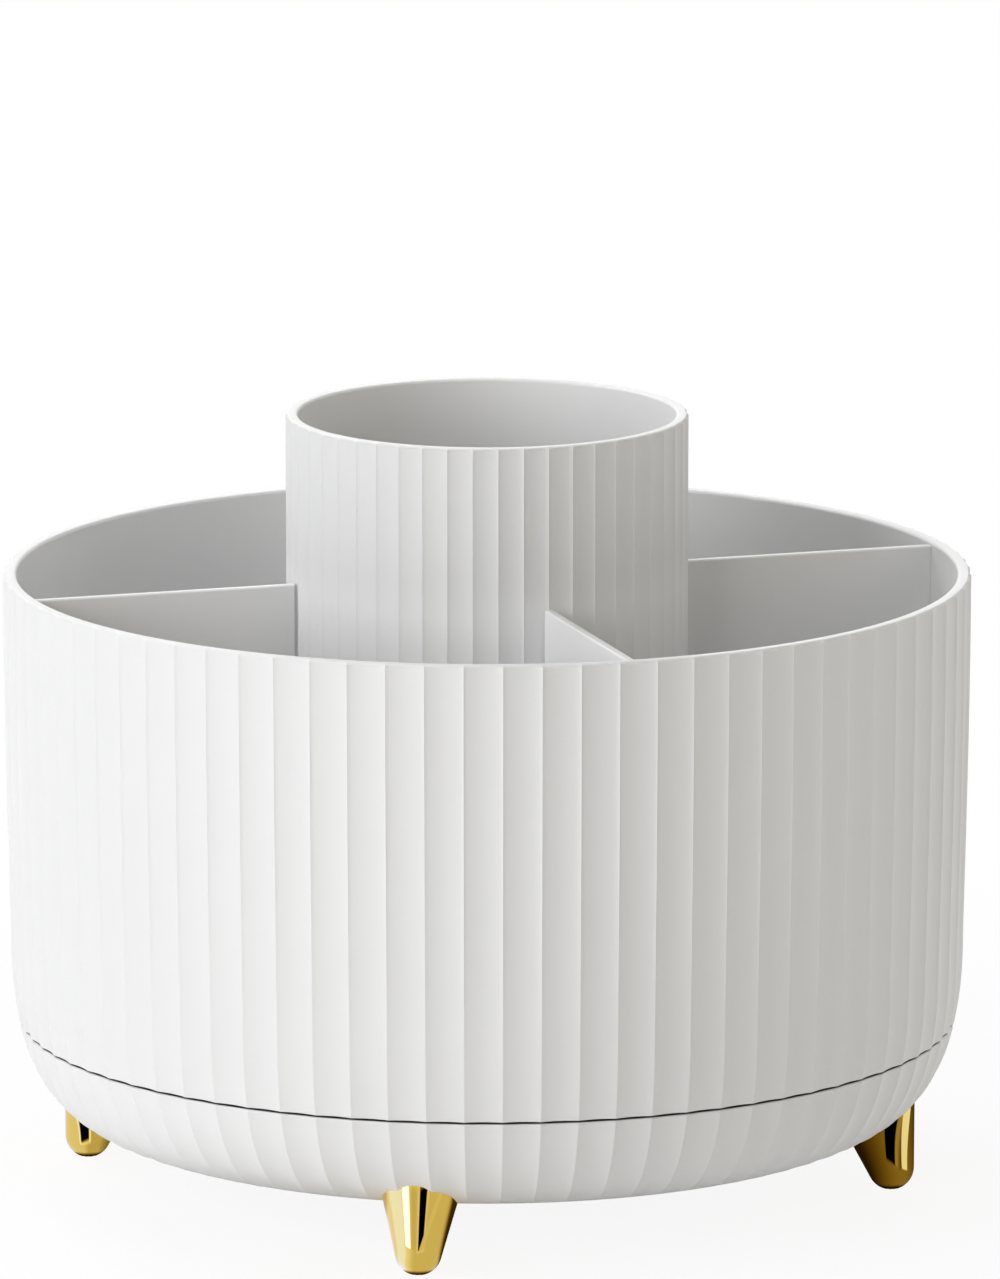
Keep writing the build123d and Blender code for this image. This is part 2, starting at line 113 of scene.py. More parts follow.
class ShellSizes(bpy.types.PropertyGroup):
    """Sizes of the fluted shells."""

    rim_radius: FloatProperty(
        name="Rim radius", description="Radius of the tub over the flute edges at its rim",
        default=0.085, min=0.02, unit="LENGTH")
    rim_height: FloatProperty(
        name="Rim height", description="Height of the tub rim over the table",
        default=TUB_HIGH.z, min=0.02, unit="LENGTH")
    shoulder_radius: FloatProperty(
        name="Shoulder radius", description="Radius where the bowl curve meets the leaning wall",
        default=0.0841, min=0.02, unit="LENGTH")
    shoulder_height: FloatProperty(
        name="Shoulder height", description="Height where the bowl curve meets the leaning wall",
        default=0.0455, min=0.01, unit="LENGTH")
    belly_radius: FloatProperty(
        name="Belly radius", description="Radius of the flat underside of the bowl",
        default=0.062, min=0.01, unit="LENGTH")
    underside_height: FloatProperty(
        name="Underside height", description="Height of the flat underside over the table",
        default=BASE_LOW.z, min=0.0, unit="LENGTH")
    bowl_fullness: FloatProperty(
        name="Bowl fullness", description="Exponent of the bowl curve: 2 is an ellipse, more is squarer",
        default=2.6, min=1.5, max=6.0)
    flutes: IntProperty(
        name="Flutes", description="Flutes round the tub and the base", default=80, min=8)
    flute_depth: FloatProperty(
        name="Flute depth", description="Depth of a flute under its edges",
        default=0.0005, min=0.0, unit="LENGTH")
    flute_lip: FloatProperty(
        name="Flute lip",
        description="Share of its depth that steep lips add to a flute of the cup or of the upper wall",
        default=0.2, min=0.0, max=1.0)
    wall: FloatProperty(
        name="Wall", description="Wall thickness under the flutes",
        default=0.0019, min=0.0005, unit="LENGTH")
    rim_round: FloatProperty(
        name="Rim rounding", description="Outer rounding of the tub rim",
        default=0.0006, min=0.0001, unit="LENGTH")
    rim_inner_round: FloatProperty(
        name="Inner rim rounding", description="Inner rounding of the tub rim",
        default=0.0006, min=0.0001, unit="LENGTH")
    seam_round: FloatProperty(
        name="Seam rounding", description="Rounding of the lower edge of the tub at the seam",
        default=0.00014, min=0.00005, unit="LENGTH")
    base_round: FloatProperty(
        name="Base rounding", description="Rounding of the upper edge of the base at the seam",
        default=0.00032, min=0.00005, unit="LENGTH")
    floor: FloatProperty(
        name="Tub floor", description="Height of the top of the tub floor",
        default=CUP_LOW.z, min=0.0, unit="LENGTH")
    floor_thickness: FloatProperty(
        name="Tub floor thickness", description="Thickness of the tub floor",
        default=0.0022, min=0.0005, unit="LENGTH")
    cup_radius: FloatProperty(
        name="Cup radius", description="Radius of the centre cup over its flute edges",
        default=CUP_HIGH.y, min=0.01, unit="LENGTH")
    cup_flutes: IntProperty(
        name="Cup flutes", description="Flutes round the centre cup", default=50, min=8)
    cup_flute_depth: FloatProperty(
        name="Cup flute depth", description="Depth of a cup flute under its edges",
        default=0.00035, min=0.0, unit="LENGTH")
    cup_wall: FloatProperty(
        name="Cup wall", description="Wall thickness of the cup under its flutes",
        default=0.0018, min=0.0005, unit="LENGTH")
    cup_rim_round: FloatProperty(
        name="Cup rim rounding", description="Outer rounding of the cup rim",
        default=0.0005, min=0.0001, unit="LENGTH")


class FootSizes(bpy.types.PropertyGroup):
    """Sizes of the four slanted feet."""

    first_angle: FloatProperty(
        name="First foot", description="Angle of the front foot round the turning axis",
        default=math.radians(-117.0), subtype="ANGLE")
    outer: FloatProperty(
        name="Outer side", description="Distance of the upright outer side from the turning axis",
        default=0.0763, min=0.01, unit="LENGTH")
    lean: FloatProperty(
        name="Lean", description="Lean of the foot axis, and half the taper of the cone",
        default=math.radians(14.3), subtype="ANGLE")
    tip: FloatProperty(
        name="Tip radius", description="Radius of the round tip", default=0.0041, min=0.001, unit="LENGTH")
    flat: FloatProperty(
        name="Flat", description="How much of the tip is cut flat to stand on",
        default=0.0003, min=0.0, unit="LENGTH")
    seat: FloatProperty(
        name="Seat", description="How far the top of a foot reaches into the bowl",
        default=0.0004, min=0.0, unit="LENGTH")


class Finishes(bpy.types.PropertyGroup):
    """Colours of the plastics and metals."""

    plastic: FloatVectorProperty(
        name="White plastic", description="Colour of the moulded shells",
        default=(0.805, 0.805, 0.804), subtype="COLOR", min=0.0, max=1.0)
    # Painted shade: dark colour on the hidden faces in the seam, standing in for the shadow in the gap
    seam_painted_shade: FloatVectorProperty(
        name="Seam painted shade", description="Colour of the hidden faces in the seam",
        default=(0.07, 0.07, 0.07), subtype="COLOR", min=0.0, max=1.0)
    plastic_roughness: FloatProperty(
        name="Plastic roughness", description="Roughness of the satin plastic", default=0.42, min=0.0, max=1.0)
    gold: FloatVectorProperty(
        name="Gold plating", description="Colour of the plated feet",
        default=(0.85, 0.57, 0.10), subtype="COLOR", min=0.0, max=1.0)
    gold_roughness: FloatProperty(
        name="Gold roughness", description="Roughness of the polished plating",
        default=0.0025, min=0.0, max=1.0)
    race_steel: FloatVectorProperty(
        name="Race steel", description="Colour of the pressed races and washer",
        default=(0.42, 0.43, 0.44), subtype="COLOR", min=0.0, max=1.0)
    ball_steel: FloatVectorProperty(
        name="Ball steel", description="Colour of the polished balls",
        default=(0.60, 0.61, 0.62), subtype="COLOR", min=0.0, max=1.0)
    zinc: FloatVectorProperty(
        name="Zinc plating", description="Colour of the screws",
        default=(0.55, 0.56, 0.57), subtype="COLOR", min=0.0, max=1.0)
    bearing_plastic: FloatVectorProperty(
        name="Bearing plastic", description="Colour of the ball cage and the pivot bush",
        default=(0.78, 0.75, 0.66), subtype="COLOR", min=0.0, max=1.0)


class StudioSettings(bpy.types.PropertyGroup):
    """Light and camera of the studio."""

    ambient: FloatProperty(
        name="Ambient", description="Strength of the even light from all round", default=0.03, min=0.0)
    glossy: FloatProperty(
        name="Glossy", description="Strength of the surroundings that shiny surfaces see",
        default=0.9, min=0.0)
    lamp_share: FloatProperty(
        name="Lamp share", description="Common factor on the power of all lamps", default=1.0, min=0.0)
    lamp_size: FloatProperty(
        name="Lamp size", description="Edge of each square lamp", default=0.8, min=0.05, unit="LENGTH")
    lamp_reach: FloatProperty(
        name="Lamp reach", description="Distance of the lamps from the holder",
        default=1.5, min=0.3, unit="LENGTH")
    camera_place: FloatVectorProperty(
        name="Camera place", description="Where the camera stands",
        default=(-0.5830, -1.8409, 0.48934), subtype="TRANSLATION", unit="LENGTH")
    camera_tilt: FloatProperty(
        name="Camera tilt", description="Angle of the view from straight down",
        default=math.radians(78.495), subtype="ANGLE")
    camera_turn: FloatProperty(
        name="Camera turn", description="Turn of the view about the upright axis",
        default=math.radians(-17.64), subtype="ANGLE")
    lens: FloatProperty(
        name="Lens", description="Focal length of the camera in millimetres", default=315.35, min=10.0)


class Value:
    """A number that changes over a surface, for use in arithmetic."""

    def __init__(self, finish, socket):
        self.finish = finish
        self.socket = socket

    def _math(self, operation, first, second):
        return self.finish.node("ShaderNodeMath", {"operation": operation}, {0: first, 1: second})[0]

    def __add__(self, other):
        return self._math("ADD", self, other)

    __radd__ = __add__

    def __sub__(self, other):
        return self._math("SUBTRACT", self, other)

    def __rsub__(self, other):
        return self._math("SUBTRACT", other, self)

    def __mul__(self, other):
        return self._math("MULTIPLY", self, other)

    __rmul__ = __mul__


class Finish:
    """A material or a world under construction, with its node tree."""

    def __init__(self, owner):
        self.owner = owner
        owner.use_nodes = True
        self.tree = owner.node_tree
        self.tree.nodes.clear()

    def node(self, kind, settings=None, inputs=None):
        """Adds a node, sets its settings and then its inputs, and returns its outputs as values."""
        node = self.tree.nodes.new(kind)
        for name, value in (settings or {}).items():
            if name == "stops":
                stops = node.color_ramp.elements
                stops[0].position, stops[1].position = value[0][0], value[-1][0]
                for position, _ in value[1:-1]:
                    stops.new(position)
                for stop, (_, colour) in zip(stops, value):
                    stop.color = (*colour, 1.0)
            else:
                setattr(node, name, value)
        for key, value in (inputs or {}).items():
            if isinstance(value, Value):
                self.tree.links.new(value.socket, node.inputs[key])
            else:
                node.inputs[key].default_value = value
        return [Value(self, socket) for socket in node.outputs]

    def noise(self, place, scale, detail=2.0, roughness=0.5):
        """Smooth random value about one half."""
        return self.node(
            "ShaderNodeTexNoise", {},
            {"Vector": place, "Scale": scale, "Detail": detail, "Roughness": roughness})[0]

    def place(self, stretch=(1.0, 1.0, 1.0)):
        """Point on the piece, in metres, stretched along the axes."""
        point = self.node("ShaderNodeTexCoord")[OBJECT_POINT]
        return self.node("ShaderNodeMapping", {}, {"Vector": point, "Scale": stretch})[0]

    def mix(self, factor, first, second):
        """Colour between two colours, with alpha, that may change over the surface."""
        return self.node(
            "ShaderNodeMix", {"data_type": "RGBA"}, {"Factor": factor, 6: first, 7: second})[MIXED_COLOUR]

    def blend(self, factor, low, high):
        """Colour between two plain colours."""
        return self.mix(factor, (*low, 1.0), (*high, 1.0))

    def bump(self, height, distance):
        """Normal of a surface that rises by up to a distance where the height is 1."""
        return self.node("ShaderNodeBump", {}, {"Height": height, "Distance": distance, "Strength": 1.0})[0]

    def vector(self, operation, first, second):
        """Vector made from two vectors."""
        return self.node("ShaderNodeVectorMath", {"operation": operation}, {0: first, 1: second})[0]

    def length(self, vector):
        """Length of a vector."""
        return self.node("ShaderNodeVectorMath", {"operation": "LENGTH"}, {0: vector})[LENGTH]

    def level_reach(self, place):
        """Distance of a point from the upright axis."""
        return self.length(self.vector("MULTIPLY", place, (1.0, 1.0, 0.0)))

    def step(self, value, low, high, before=0.0, after=1.0):
        """Soft step from one value to another while the input goes from low to high."""
        return self.node(
            "ShaderNodeMapRange", {"interpolation_type": "SMOOTHSTEP"},
            {"Value": value, "From Min": low, "From Max": high, "To Min": before, "To Max": after})[0]

    def window(self, away, half, soft):
        """1 within a half width, 0 outside, with soft edges."""
        return self.step(away, half + soft, half - soft)

    def away_from(self, value, middle):
        """Distance of a value from a middle."""
        return self.node("ShaderNodeMath", {"operation": "ABSOLUTE"}, {0: value - middle})[0]

    def bearing(self, vector, front):
        """Angle in radians of a level direction, from a front direction, more towards the right."""
        along, aside, _ = self.node("ShaderNodeSeparateXYZ", {}, {0: vector})
        return self.node("ShaderNodeMath", {"operation": "ARCTAN2"}, {0: aside, 1: along})[0] - front

    def apart(self, angle):
        """Size of an angle in radians, whole turns left out."""
        return self.node("ShaderNodeMath", {"operation": "PINGPONG"}, {0: angle, 1: math.pi})[0]

    def glow(self, colour, strength=1.0):
        """Plain light of a colour."""
        return self.node("ShaderNodeEmission", {}, {"Color": colour, "Strength": strength})[0]

    def either(self, factor, first, second):
        """The first surface where the factor is 0, and the second where it is 1."""
        return self.node("ShaderNodeMixShader", {}, {"Fac": factor, 1: first, 2: second})[0]

    def surface(self, **sockets):
        """Principled surface with the given sockets, joined to the output."""
        inputs = {name.replace("_", " "): value for name, value in sockets.items()}
        shader = self.node("ShaderNodeBsdfPrincipled", {}, inputs)[0]
        self.node("ShaderNodeOutputMaterial", {}, {"Surface": shader})
        return self.owner


def shade(colour, share):
    """The colour, lighter or darker."""
    return tuple(min(1.0, part * share) for part in colour)


def satin_plastic(finishes):
    """White injection-moulded plastic with a faint flow of tone, a fine orange peel, and painted shade
    darkening the hidden faces in the seam.
    """
    finish = Finish(bpy.data.materials.new("white_plastic"))
    place = finish.place()
    flow = finish.noise(finish.place(stretch=(1.0, 1.0, 0.35)), scale=22.0, detail=3.0)
    cloud = finish.noise(place, scale=60.0, detail=4.0, roughness=0.6)
    peel = finish.noise(place, scale=1400.0)
    grain = finish.noise(place, scale=5200.0, detail=1.0)
    colour = finish.blend(
        flow * 0.6 + cloud * 0.4, shade(finishes.plastic, 0.985), shade(finishes.plastic, 1.015))
    return finish.surface(
        # Painted shade: the seam's hidden faces take the dark seam colour in place of the gap's shadow
        Base_Color=finish.mix(seam_painted_shade(finish, place), colour, (*finishes.seam_painted_shade, 1.0)),
        Roughness=finishes.plastic_roughness - 0.05 + cloud * 0.10,
        Normal=finish.bump(peel * 0.8 + grain * 0.2, distance=0.000006),
        IOR=1.46,
    )


def seam_painted_shade(finish, place):
    """1 on the faces hidden in the seam between the tub and the base, where a dark colour is painted as shade
    in place of the gap's shadow.
    """
    seam = (SEAM_BOTTOM + SEAM_TOP) / 2
    edge = wall_radius(bpy.context.scene.holder_shells, seam)
    _, _, height = finish.node("ShaderNodeSeparateXYZ", {}, {0: place})
    inside = finish.step(finish.level_reach(place), edge - SEAM_SHADE_START, edge - SEAM_SHADE_FULL)
    return inside * finish.window(finish.away_from(height, seam), SEAM_SHADE_HALF, SEAM_SHADE_SOFT)


def gold_plating(finishes):
    """Polished plating with the faintest drift of tone and roughness."""
    finish = Finish(bpy.data.materials.new("gold_plating"))
    place = finish.place()
    cloud = finish.noise(place, scale=240.0, detail=3.0, roughness=0.6)
    wave = finish.noise(place, scale=420.0, detail=1.0)
    return finish.surface(
        Base_Color=finish.blend(cloud, shade(finishes.gold, 0.95), shade(finishes.gold, 1.05)),
        Metallic=1.0,
        Roughness=finishes.gold_roughness - 0.0007 + cloud * 0.0014,
        Normal=finish.bump(wave, distance=0.0000006),
    )


def turned_steel(finishes):
    """Steel with the fine circular lines of turning about the upright axis."""
    finish = Finish(bpy.data.materials.new("turned_steel"))
    place = finish.place()
    lines = finish.node(
        "ShaderNodeTexNoise", {"noise_dimensions": "1D"},
        {"W": finish.level_reach(place), "Scale": 6000.0, "Detail": 2.0})[0]
    cloud = finish.noise(place, scale=90.0, detail=3.0)
    return finish.surface(
        Base_Color=finish.blend(cloud, shade(finishes.race_steel, 0.9), shade(finishes.race_steel, 1.1)),
        Metallic=1.0,
        Roughness=0.24 + lines * 0.16,
        Normal=finish.bump(lines, distance=0.00001),
    )


def ball_steel(finishes):
    """Polished bearing steel with a thin uneven film of grease."""
    finish = Finish(bpy.data.materials.new("ball_steel"))
    film = finish.noise(finish.place(), scale=500.0, detail=3.0)
    return finish.surface(
        Base_Color=finish.blend(film, shade(finishes.ball_steel, 0.94), shade(finishes.ball_steel, 1.04)),
        Metallic=1.0,
        Roughness=0.05 + film * 0.08,
        Normal=finish.bump(film, distance=0.000002),
    )


def zinc_plating(finishes):
    """Zinc plate with a mottled crystal tone."""
    finish = Finish(bpy.data.materials.new("zinc_steel"))
    place = finish.place()
    crystal = finish.node("ShaderNodeTexVoronoi", {}, {"Vector": place, "Scale": 2600.0})[0]
    cloud = finish.noise(place, scale=700.0, detail=3.0)
    return finish.surface(
        Base_Color=finish.blend(
            cloud * 0.7 + crystal * 0.3, shade(finishes.zinc, 0.86), shade(finishes.zinc, 1.10)),
        Metallic=1.0,
        Roughness=0.28 + cloud * 0.16,
        Normal=finish.bump(crystal, distance=0.000004),
    )


def bearing_plastic(finishes):
    """Matt natural bearing plastic."""
    finish = Finish(bpy.data.materials.new("bearing_plastic"))
    place = finish.place()
    cloud = finish.noise(place, scale=160.0, detail=4.0, roughness=0.6)
    grain = finish.noise(place, scale=3800.0)
    return finish.surface(
        Base_Color=finish.blend(
            cloud, shade(finishes.bearing_plastic, 0.95), shade(finishes.bearing_plastic, 1.04)),
        Roughness=0.48 + cloud * 0.12,
        Normal=finish.bump(grain, distance=0.000012),
    )


MATERIALS = {
    "white_plastic": satin_plastic,
    "gold_plating": gold_plating,
    "pressed_steel": turned_steel,
    "ball_steel": ball_steel,
    "zinc_steel": zinc_plating,
    "bearing_plastic": bearing_plastic,
}


def finish_of(slot):
    """The material of a slot, made once."""
    made = bpy.context.scene.get("holder_materials", {})
    if slot not in made:
        material = MATERIALS[slot](bpy.context.scene.holder_finishes)
        bpy.context.scene["holder_materials"] = {**dict(made), slot: material.name}
        return material
    return bpy.data.materials[made[slot]]


def soft_rise(value):
    """Smooth rise from 0 to 1 while the value does."""
    value = min(1.0, max(0.0, value))
    return value * value * (3 - 2 * value)


def flute_dip(across, lip=0.0):
    """Share of its depth that a flute has from edge to edge, -1 to 1: a round hollow, with or without lips."""
    return 1 - across ** 2 + lip * (1 - across ** 12)


def flute_columns(flutes):
    """Angle of each column of points, and its place across its flute, from -1 to 1."""
    places = (-1.0, -0.97, -0.91, -0.81, -0.60, -0.20, 0.20, 0.60, 0.81, 0.91, 0.97)
    return [
        (math.tau / flutes * (flute + across / 2), across)
        for flute in range(flutes)
        for across in places
    ]


def wall_lip(sizes, height):
    """Share that steep lips add to the flutes at a height: nothing low on the wall, all from its middle up."""
    return sizes.flute_lip * soft_rise((height - LIP_LOW) / (LIP_HIGH - LIP_LOW))


def point(radius, height, depth=0.0):
    """Profile point of a surface with no flutes, or with flutes that sink straight in."""
    return (radius, height, depth, 1.0, 0.0)


def arc(centre, radius, start, end, steps, depth=0.0):
    """Profile points of a quarter of a rounding, angles in degrees from the outward level."""
    turns = [math.radians(start + (end - start) * step / steps) for step in range(steps + 1)]
    out, up = centre
    return [point(out + radius * math.cos(turn), up + radius * math.sin(turn), depth) for turn in turns]


def lathe(bm, profile, columns, closed=False):
    """Turns a profile into a closed surface of revolution. Each point has a radius, a height, the depth of the
    flutes, the outward and upward parts of the normal along which they sink in, and perhaps their lip."""
    rings = []
    for radius, height, depth, out, up, *lip in profile:
        if radius == 0:
            rings.append([bm.verts.new((0.0, 0.0, height))])
            continue
        ring = []
        for angle, across in columns:
            dip = depth * flute_dip(across, *lip)
            reach = radius - dip * out
            ring.append(bm.verts.new((reach * math.cos(angle), reach * math.sin(angle), height - dip * up)))
        rings.append(ring)
    pairs = list(zip(rings, rings[1:]))
    if closed:
        pairs.append((rings[-1], rings[0]))
    for low, high in pairs:
        for column in range(len(columns)):
            following = (column + 1) % len(columns)
            if len(low) == 1:
                bm.faces.new((low[0], high[following], high[column]))
            elif len(high) == 1:
                bm.faces.new((low[column], low[following], high[0]))
            else:
                bm.faces.new((low[column], low[following], high[following], high[column]))


def finished_piece(name, bm, slot, body, *nodes, crisp=40.0):
    """Object from a mesh, shaded smooth but for its crisp edges, riding on a body in place of CAD nodes."""
    bmesh.ops.recalc_face_normals(bm, faces=bm.faces)
    mesh = bpy.data.meshes.new(name)
    bm.to_mesh(mesh)
    bm.free()
    mesh.shade_smooth()
    mesh.set_sharp_from_angle(angle=math.radians(crisp))
    piece = bpy.data.objects.new(name, mesh)
    bpy.context.scene.collection.objects.link(piece)
    weighted = piece.modifiers.new("weighted_normals", "WEIGHTED_NORMAL")
    weighted.keep_sharp = True
    piece.data.materials.append(finish_of(slot))
    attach(piece, body)
    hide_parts(*nodes)


def bowl_point(sizes, turn):
    """Radius and height of the bowl curve, and its outward normal, at a turn from 0 at the shoulder to 90."""
    width = sizes.shoulder_radius - sizes.belly_radius
    drop = sizes.shoulder_height - sizes.underside_height
    reach = max(0.0, math.cos(math.radians(turn))) ** (2 / sizes.bowl_fullness)
    fall = math.sin(math.radians(turn)) ** (2 / sizes.bowl_fullness)
    normal = Vector((drop * reach ** (sizes.bowl_fullness - 1), -width * fall ** (sizes.bowl_fullness - 1)))
    normal.normalize()
    return sizes.belly_radius + width * reach, sizes.shoulder_height - drop * fall, normal


def flute_fade(turn):
    """Share of their depth that the flutes have at a turn of the bowl curve: they run out just under it."""
    return soft_rise((FLUTE_END - turn) / FLUTE_FADE)


def bowl_turn(sizes, height):
    """Turn of the bowl curve at a height."""
    depth = (sizes.shoulder_height - height) / (sizes.shoulder_height - sizes.underside_height)
    return math.degrees(math.asin(min(1.0, depth) ** (sizes.bowl_fullness / 2)))


def even_turns(sizes, first, last, steps, parts=400):
    """Turns of the bowl curve that divide it into even lengths, each the nearest of many fine parts."""
    fine = [first + (last - first) * part / parts for part in range(parts + 1)]
    places = [Vector(bowl_point(sizes, turn)[:2]) for turn in fine]
    lengths = [0.0]
    for here, there in zip(places, places[1:]):
        lengths.append(lengths[-1] + (there - here).length)
    goals = [lengths[-1] * step / steps for step in range(steps + 1)]
    return [fine[min(range(parts + 1), key=lambda part: abs(lengths[part] - goal))] for goal in goals]


def wall_radius(sizes, height):
    """Radius over the flute edges of the leaning wall or of the bowl at a height."""
    if height < sizes.shoulder_height:
        return bowl_point(sizes, bowl_turn(sizes, height))[0]
    rise = (height - sizes.shoulder_height) / (sizes.rim_height - sizes.shoulder_height)
    lean = math.sin(math.pi / 2 * min(1.0, rise))
    return sizes.shoulder_radius + (sizes.rim_radius - sizes.shoulder_radius) * lean


def rounded_rim(radius, top, outer, inner, thickness, depth, lip):
    """Profile over a rim: outer rounding with the flutes running out on it, flat top and inner rounding."""
    rows = []
    for degrees in range(0, 91, 15):
        out, up = math.cos(math.radians(degrees)), math.sin(math.radians(degrees))
        rows.append((radius - outer + outer * out, top - outer + outer * up, depth * out ** 1.5, out, up, lip))
    return rows + arc((radius - thickness + inner, top - inner), inner, 90, 180, 5)


def tub_profile(sizes):
    """Profile of the tub: out under its floor, up the fluted outside, over the rim and back down inside."""
    thickness = sizes.flute_depth + sizes.wall
    edge = wall_radius(sizes, SEAM_TOP)
    skirt = edge - thickness
    under = sizes.floor - sizes.floor_thickness
    lip_outer = skirt - DUST_LIP_GAP
    lip_inner = lip_outer - DUST_LIP_WIDTH
    profile = [
        point(0.0, PILOT_TOP), point(PILOT_RADIUS, PILOT_TOP), point(PILOT_RADIUS, HUB_LOW),
        point(HUB_RADIUS - HUB_BEVEL, HUB_LOW), point(HUB_RADIUS, HUB_LOW + HUB_BEVEL),
        point(HUB_RADIUS, under),
    ]
    for inner in RACE_RINGS:
        outer, top = inner + RING_WIDTH, UPPER_RACE_HIGH.z
        profile += [point(inner, under), point(inner, top), point(outer, top), point(outer, under)]
    profile += [
        point(lip_inner, under), point(lip_inner, under - DUST_LIP_DEPTH),
        point(lip_outer, under - DUST_LIP_DEPTH), point(lip_outer, under),
        point(skirt, under), point(skirt, SEAM_TOP),
    ]
    rounding = sizes.seam_round
    profile += arc((edge - rounding, SEAM_TOP + rounding), rounding, -90, 0, 3, sizes.flute_depth)
    # The bowl curve goes on a little above the rounded edge
    start = bowl_turn(sizes, SEAM_TOP + 1.5 * rounding)
    for turn in reversed(even_turns(sizes, 0.0, start, TUB_BOWL_ROWS)):
        radius, height, normal = bowl_point(sizes, turn)
        profile.append((radius, height, sizes.flute_depth, normal.x, normal.y, wall_lip(sizes, height)))
    rise = sizes.rim_height - sizes.rim_round - sizes.shoulder_height
    for row in range(1, TUB_WALL_ROWS):
        height = sizes.shoulder_height + rise * row / TUB_WALL_ROWS
        profile.append((
            *point(wall_radius(sizes, height), height, sizes.flute_depth), wall_lip(sizes, height)))
    profile += rounded_rim(
        sizes.rim_radius, sizes.rim_height, sizes.rim_round, sizes.rim_inner_round, thickness,
        sizes.flute_depth, sizes.flute_lip)
    low = wall_radius(sizes, sizes.floor) - thickness
    profile.append(point(sizes.shoulder_radius - thickness, sizes.shoulder_height))
    profile += arc((low - TUB_CORNER, sizes.floor + TUB_CORNER), TUB_CORNER, 0, -90, 6)
    return profile + [point(FLOOR_ROW, sizes.floor), point(0.0, sizes.floor)]


class HOLDER_OT_tub(bpy.types.Operator):
    """Build the fluted tub with its rim, floor, guide ribs and hub"""

    bl_idname = "holder.tub"
    bl_label = "Fluted tub"

    def execute(self, context):
        sizes = context.scene.holder_shells
        bm = bmesh.new()
        lathe(bm, tub_profile(sizes), flute_columns(sizes.flutes))
        for quarter in range(4):
            for side in (-1, 1):
                place = Matrix.Rotation(math.pi / 2 * quarter, 4, "Z") @ Matrix.Translation(
                    (RIB_REACH, side * RIB_ASIDE, sizes.floor))
                add_mesh(bm, rounded_bar(RIB_LENGTH, RIB_WIDTH, RIB_HEIGHT, RIB_ROUND), place)
        finished_piece("fluted_tub", bm, "white_plastic", "turning_tub", "tub")
        return {"FINISHED"}


def rounded_bar(length, width, height, rounding):
    """Low bar with rounded upper edges, standing on its foot face."""
    bm = bmesh.new()
    bmesh.ops.create_cube(bm, size=1.0)
    bmesh.ops.scale(bm, vec=(length, width, height), verts=bm.verts)
    bmesh.ops.translate(bm, vec=(0.0, 0.0, height / 2), verts=bm.verts)
    upper = [edge for edge in bm.edges if max(vert.co.z for vert in edge.verts) > height / 2]
    bmesh.ops.bevel(bm, geom=upper, offset=rounding, segments=3, profile=0.5, affect="EDGES")
    return bm


def add_mesh(bm, other, place):
    """Adds another mesh at a place."""
    bmesh.ops.transform(other, matrix=place, verts=other.verts)
    mesh = bpy.data.meshes.new("joined")
    other.to_mesh(mesh)
    other.free()
    bm.from_mesh(mesh)
    bpy.data.meshes.remove(mesh)


def base_profile(sizes):
    """Closed profile of the base: out under the bowl, up its fluted outside, over the edge and back inside."""
    top, under = SEAM_BOTTOM, sizes.underside_height
    floor = under + BASE_FLOOR
    web = BUSH_LOW.z
    collar = BUSH_HIGH.z - BUSH_FLANGE
    profile = [
        point(BUSH_HOLE, web), point(RECESS_RADIUS, web), point(RECESS_RADIUS, under + RECESS_BEVEL),
        point(RECESS_RADIUS + RECESS_BEVEL, under), *(point(row, under) for row in UNDERSIDE_ROWS),
    ]
    # The bowl curve ends a little below the rounded edge
    rounding = sizes.base_round
    start = bowl_turn(sizes, top - 1.3 * rounding)
    for turn in reversed(even_turns(sizes, start, 90.0, BASE_ROWS)):
        radius, height, normal = bowl_point(sizes, turn)
        profile.append((radius, height, sizes.flute_depth * flute_fade(turn), normal.x, normal.y))
    edge = wall_radius(sizes, top - rounding)
    profile += arc((edge - rounding, top - rounding), rounding, 0, 90, 5, sizes.flute_depth)
    inset = sizes.flute_depth + BASE_WALL
    profile.append(point(edge - inset, top))
    for turn in even_turns(sizes, start, 82.0, BASE_INNER_ROWS):
        radius, height, normal = bowl_point(sizes, turn)
        if height - inset * normal.y > floor:
            profile.append(point(radius - inset * normal.x, height - inset * normal.y))
    profile.append(point(sizes.belly_radius - BASE_CORNER, floor))
    for inner in reversed(RACE_RINGS):
        outer, seat = inner + RING_WIDTH, LOWER_RACE_LOW.z
        profile += [point(outer, floor), point(outer, seat), point(inner, seat), point(inner, floor)]
    return profile + [
        point(BOSS_RADIUS, floor), point(BOSS_RADIUS, web + WEB),
        point(COLLAR_RADIUS, web + WEB), point(COLLAR_RADIUS, collar), point(BUSH_HOLE, collar),
    ]


class HOLDER_OT_base(bpy.types.Operator):
    """Build the fluted bowl of the base with its pivot boss and race seats"""

    bl_idname = "holder.base"
    bl_label = "Fluted base"

    def execute(self, context):
        sizes = context.scene.holder_shells
        bm = bmesh.new()
        lathe(bm, base_profile(sizes), flute_columns(sizes.flutes), closed=True)
        finished_piece("fluted_base", bm, "white_plastic", "base", "base_shell")
        return {"FINISHED"}


